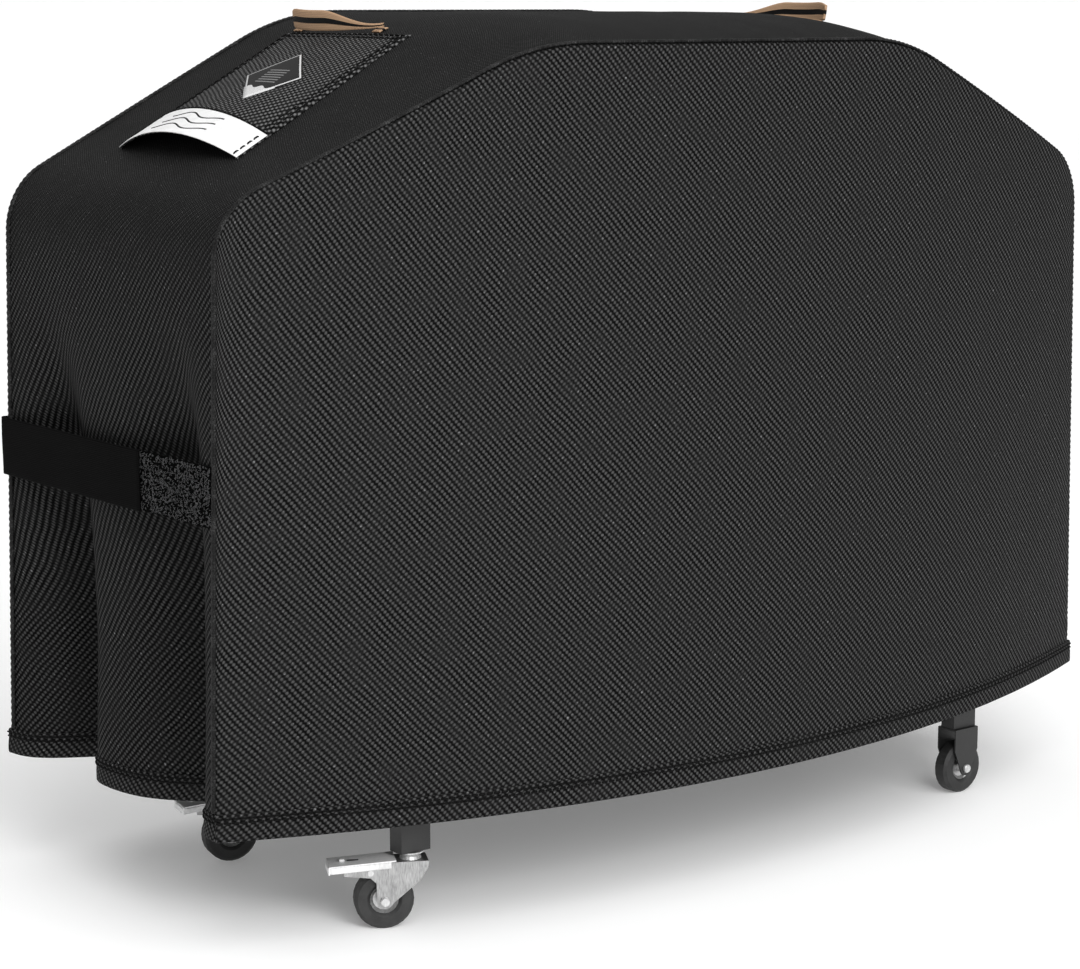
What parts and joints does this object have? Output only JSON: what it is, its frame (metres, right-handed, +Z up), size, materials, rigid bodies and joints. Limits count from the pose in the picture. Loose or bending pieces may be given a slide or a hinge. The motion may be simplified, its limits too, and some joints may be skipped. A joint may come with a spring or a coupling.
{
  "type": "grill cover on a caster cart",
  "caption": "Fitted black fabric cover for a wheeled outdoor grill, with air vents, carry handles and end straps, over a plain caster cart frame.",
  "frame": {"origin": "on the floor under the middle of the bounding box", "axes": "+X along the cover's length to its right end, -Y towards its front panel, +Z up"},
  "size_m": [1.5152, 0.734, 1.1373],
  "materials": {
    "cover_cloth": "black coated polyester oxford cloth with a coarse twill rib",
    "seam_trim": "stitched cord edging, matt black grey",
    "label_cloth": "white woven strip",
    "care_patch": "black printed patch with a white line",
    "vent_net": "black open net",
    "handle_webbing": "beige webbing with a black stripe",
    "strap_webbing": "ribbed black webbing",
    "loop_tape": "fuzzy black loop tape",
    "black_paint": "satin black paint on steel",
    "zinc_plate": "brushed zinc plate",
    "bright_steel": "bright plated steel",
    "tyre_rubber": "black rubber",
    "hub_plate": "plated steel disc"
  },
  "bodies": {
    "root": {"front_panel": "cover_cloth", "back_panel": "cover_cloth", "gusset_panel": "cover_cloth", "hem_band": "cover_cloth", "front_seam_welt": "seam_trim", "back_seam_welt": "seam_trim", "care_patch": "care_patch", "left_vent_hood": "cover_cloth", "right_vent_hood": "cover_cloth", "left_vent_label": "label_cloth", "right_vent_label": "label_cloth", "left_vent_net": "vent_net", "right_vent_net": "vent_net", "left_loop_strip": "loop_tape", "right_loop_strip": "loop_tape", "left_front_leg": "black_paint", "left_back_leg": "black_paint", "right_front_leg": "black_paint", "right_back_leg": "black_paint", "front_lower_rail": "black_paint", "front_upper_rail": "black_paint", "back_lower_rail": "black_paint", "back_upper_rail": "black_paint", "left_lower_rail": "black_paint", "left_upper_rail": "black_paint", "right_lower_rail": "black_paint", "right_upper_rail": "black_paint", "left_shelf_frame": "black_paint", "right_shelf_frame": "black_paint", "front_roof_hoop": "black_paint", "back_roof_hoop": "black_paint", "left_front_swivel_stem": "bright_steel", "left_back_swivel_stem": "bright_steel", "right_front_fork": "black_paint", "right_front_axle_bolt": "bright_steel", "right_back_fork": "black_paint", "right_back_axle_bolt": "bright_steel"},
    "left_front_swivel": {"left_front_fork": "zinc_plate", "left_front_axle_bolt": "bright_steel", "left_front_pedal_pin": "bright_steel"},
    "left_front_wheel": {"left_front_tyre": "tyre_rubber", "left_front_hub": "hub_plate"},
    "left_front_pedal": {"left_front_brake_pedal": "bright_steel"},
    "right_front_wheel": {"right_front_tyre": "tyre_rubber", "right_front_hub": "hub_plate"},
    "left_back_swivel": {"left_back_fork": "zinc_plate", "left_back_axle_bolt": "bright_steel", "left_back_pedal_pin": "bright_steel"},
    "left_back_wheel": {"left_back_tyre": "tyre_rubber", "left_back_hub": "hub_plate"},
    "left_back_pedal": {"left_back_brake_pedal": "bright_steel"},
    "right_back_wheel": {"right_back_tyre": "tyre_rubber", "right_back_hub": "hub_plate"},
    "left_handle": {"left_handle": "handle_webbing"},
    "left_strap": {"left_hook_strap": "strap_webbing"},
    "right_handle": {"right_handle": "handle_webbing"},
    "right_strap": {"right_hook_strap": "strap_webbing"}
  },
  "joints": [
    {"name": "left_front_caster_swivel", "type": "hinge", "parent": "root", "child": "left_front_swivel", "pos_m": [-0.49, -0.225, 0.0875], "axis": [0, 0, 1], "continuous": true},
    {"name": "left_front_wheel_spin", "type": "hinge", "parent": "left_front_swivel", "child": "left_front_wheel", "pos_m": [-0.52002, -0.20904, 0.0375], "axis": [0.4695, 0.8829, 0], "continuous": true},
    {"name": "left_front_pedal_press", "type": "hinge", "parent": "left_front_swivel", "child": "left_front_pedal", "pos_m": [-0.53591, -0.20059, 0.075], "axis": [-0.4695, -0.8829, 0], "range_deg": [0, 8]},
    {"name": "right_front_wheel_spin", "type": "hinge", "parent": "root", "child": "right_front_wheel", "pos_m": [0.49, -0.225, 0.0375], "axis": [0, 1, 0], "continuous": true},
    {"name": "left_back_caster_swivel", "type": "hinge", "parent": "root", "child": "left_back_swivel", "pos_m": [-0.49, 0.14, 0.0875], "axis": [0, 0, 1], "continuous": true},
    {"name": "left_back_wheel_spin", "type": "hinge", "parent": "left_back_swivel", "child": "left_back_wheel", "pos_m": [-0.52326, 0.14707, 0.0375], "axis": [0.2079, 0.9781, 0], "continuous": true},
    {"name": "left_back_pedal_press", "type": "hinge", "parent": "left_back_swivel", "child": "left_back_pedal", "pos_m": [-0.54086, 0.15081, 0.075], "axis": [-0.2079, -0.9781, 0], "range_deg": [0, 8]},
    {"name": "right_back_wheel_spin", "type": "hinge", "parent": "root", "child": "right_back_wheel", "pos_m": [0.49, 0.14, 0.0375], "axis": [0, 1, 0], "continuous": true},
    {"name": "left_handle_flop", "type": "hinge", "parent": "root", "child": "left_handle", "pos_m": [-0.337, 0.134, 1.10645], "axis": [0, 1, 0], "range_deg": [0, 90]},
    {"name": "left_strap_peel", "type": "hinge", "parent": "root", "child": "left_strap", "pos_m": [-0.7513, 0.3237, 0.565], "axis": [0, 0, -1], "range_deg": [0, 150]},
    {"name": "right_handle_flop", "type": "hinge", "parent": "root", "child": "right_handle", "pos_m": [0.3, -0.014, 1.11604], "axis": [0, -0.9998, -0.0202], "range_deg": [0, 90]},
    {"name": "right_strap_peel", "type": "hinge", "parent": "root", "child": "right_strap", "pos_m": [0.7513, 0.3237, 0.565], "axis": [0, 0, 1], "range_deg": [0, 150]}
  ]
}
